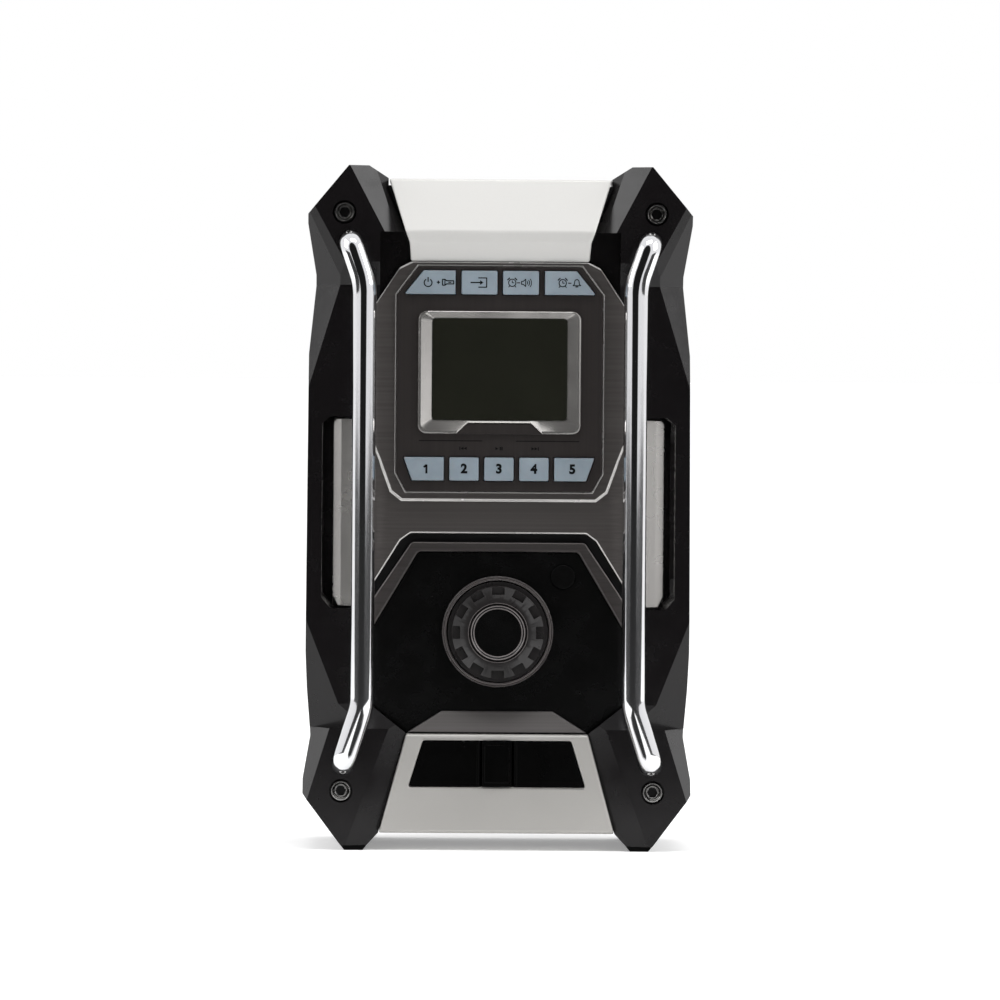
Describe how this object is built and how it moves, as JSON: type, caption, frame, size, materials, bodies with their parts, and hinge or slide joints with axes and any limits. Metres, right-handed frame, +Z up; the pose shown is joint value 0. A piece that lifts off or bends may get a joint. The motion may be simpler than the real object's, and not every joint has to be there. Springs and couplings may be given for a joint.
{
  "type": "jobsite radio",
  "caption": "Upright portable jobsite radio with faceted corner guards, polished front bars, display, keys, volume knob, side speakers, battery door, antenna and covered sockets.",
  "frame": {"origin": "on the ground under the middle of the radio, midway between the bars' fronts and the guards' backs", "axes": "+Z up, front towards -Y, +X to the right of someone facing the front"},
  "size_m": [0.1596, 0.1, 0.281],
  "materials": {
    "guard_plastic": "textured",
    "case_plastic": "textured",
    "silver_plastic": "satin",
    "brushed_grey": "brushed",
    "panel_plastic": "satin",
    "display_glass": "polished",
    "chrome_bar": "polished",
    "screw_steel": "polished",
    "key_plastic": "satin",
    "rubber": "matt",
    "socket_steel": "brushed",
    "dark_plastic": "smooth",
    "cone_paper": "matt",
    "circuit_board": "satin",
    "switch_metal": "satin",
    "contact_brass": "satin",
    "clear_lens": "polished",
    "led_plastic": "smooth"
  },
  "bodies": {
    "radio": {"front_housing": "case_plastic", "rear_cover": "case_plastic", "left_guard": "guard_plastic", "right_guard": "guard_plastic", "top_cap": "silver_plastic", "bottom_panel": "silver_plastic", "fascia": "brushed_grey", "display_panel": "panel_plastic", "display_bezel": "silver_plastic", "display_glass": "display_glass", "display_module": "circuit_board", "knob_panel": "case_plastic", "knob_frame": "brushed_grey", "chin_trim": "brushed_grey", "socket_block": "rubber", "usb_socket": "socket_steel", "aux_socket": "dark_plastic", "left_bar": "chrome_bar", "right_bar": "chrome_bar", "guard_screws": "screw_steel", "rear_screws": "screw_steel", "left_grille": "silver_plastic", "right_grille": "silver_plastic", "left_speaker": "dark_plastic", "right_speaker": "dark_plastic", "left_cone": "cone_paper", "right_cone": "cone_paper", "main_board": "circuit_board", "key_board": "circuit_board", "key_switches": "switch_metal", "encoder_body": "dark_plastic", "knob_ring": "panel_plastic", "battery_pack": "dark_plastic", "battery_terminals": "contact_brass", "antenna_pivot": "dark_plastic", "dc_jack": "dark_plastic", "torch_lens": "clear_lens", "torch_led": "led_plastic", "foot_pads": "rubber", "case_seal": "rubber"},
    "power_key": {"power_key": "key_plastic"},
    "source_key": {"source_key": "key_plastic"},
    "alarm_sound_key": {"alarm_sound_key": "key_plastic"},
    "alarm_bell_key": {"alarm_bell_key": "key_plastic"},
    "preset_key_1": {"preset_key_1": "key_plastic"},
    "preset_key_2": {"preset_key_2": "key_plastic"},
    "preset_key_3": {"preset_key_3": "key_plastic"},
    "preset_key_4": {"preset_key_4": "key_plastic"},
    "preset_key_5": {"preset_key_5": "key_plastic"},
    "menu_button": {"menu_button": "panel_plastic"},
    "knob_rotor": {"encoder_rotor": "switch_metal"},
    "knob": {"knob_spindle": "screw_steel", "volume_knob": "panel_plastic", "knob_cap": "panel_plastic"},
    "left_flap": {"left_socket_flap": "rubber"},
    "right_flap": {"right_socket_flap": "rubber"},
    "door": {"battery_door": "case_plastic"},
    "latch": {"battery_latch": "case_plastic"},
    "antenna": {"antenna_rod": "rubber"},
    "supply_cap": {"dc_cap": "rubber"}
  },
  "joints": [
    {"name": "power_key_press", "type": "slide", "parent": "radio", "child": "power_key", "axis": [0, 1, 0], "range_m": [0, 0.0008], "stiffness_N_per_m": 1200},
    {"name": "source_key_press", "type": "slide", "parent": "radio", "child": "source_key", "axis": [0, 1, 0], "range_m": [0, 0.0008], "stiffness_N_per_m": 1200},
    {"name": "alarm_sound_key_press", "type": "slide", "parent": "radio", "child": "alarm_sound_key", "axis": [0, 1, 0], "range_m": [0, 0.0008], "stiffness_N_per_m": 1200},
    {"name": "alarm_bell_key_press", "type": "slide", "parent": "radio", "child": "alarm_bell_key", "axis": [0, 1, 0], "range_m": [0, 0.0008], "stiffness_N_per_m": 1200},
    {"name": "preset_key_1_press", "type": "slide", "parent": "radio", "child": "preset_key_1", "axis": [0, 1, 0], "range_m": [0, 0.0008], "stiffness_N_per_m": 1200},
    {"name": "preset_key_2_press", "type": "slide", "parent": "radio", "child": "preset_key_2", "axis": [0, 1, 0], "range_m": [0, 0.0008], "stiffness_N_per_m": 1200},
    {"name": "preset_key_3_press", "type": "slide", "parent": "radio", "child": "preset_key_3", "axis": [0, 1, 0], "range_m": [0, 0.0008], "stiffness_N_per_m": 1200},
    {"name": "preset_key_4_press", "type": "slide", "parent": "radio", "child": "preset_key_4", "axis": [0, 1, 0], "range_m": [0, 0.0008], "stiffness_N_per_m": 1200},
    {"name": "preset_key_5_press", "type": "slide", "parent": "radio", "child": "preset_key_5", "axis": [0, 1, 0], "range_m": [0, 0.0008], "stiffness_N_per_m": 1200},
    {"name": "menu_button_press", "type": "slide", "parent": "radio", "child": "menu_button", "axis": [0, 1, 0], "range_m": [0, 0.0008], "stiffness_N_per_m": 1200},
    {"name": "knob_turn", "type": "hinge", "parent": "radio", "child": "knob_rotor", "pos_m": [0, -0.0235, 0.08995], "axis": [0, 1, 0], "continuous": true},
    {"name": "knob_push", "type": "slide", "parent": "knob_rotor", "child": "knob", "axis": [0, 1, 0], "range_m": [0, 0.0007], "stiffness_N_per_m": 2500},
    {"name": "left_flap_open", "type": "hinge", "parent": "radio", "child": "left_flap", "pos_m": [-0.0078, -0.03595, 0.03575], "axis": [0, 0, 1], "range_deg": [0, 95]},
    {"name": "right_flap_open", "type": "hinge", "parent": "radio", "child": "right_flap", "pos_m": [0.0078, -0.03595, 0.03575], "axis": [0, 0, -1], "range_deg": [0, 95]},
    {"name": "door_open", "type": "hinge", "parent": "radio", "child": "door", "pos_m": [0, 0.0418, 0.064], "axis": [-1, 0, 0], "range_deg": [0, 100]},
    {"name": "latch_slide", "type": "slide", "parent": "door", "child": "latch", "axis": [0, 0, -1], "range_m": [0, 0.003], "stiffness_N_per_m": 200},
    {"name": "antenna_swing", "type": "hinge", "parent": "radio", "child": "antenna", "pos_m": [0.048, 0.0476, 0.236], "axis": [0, 1, 0], "range_deg": [0, 180]},
    {"name": "supply_cap_open", "type": "hinge", "parent": "radio", "child": "supply_cap", "pos_m": [-0.0358, 0.0426, 0.04], "axis": [0, 0, -1], "range_deg": [0, 100]}
  ]
}
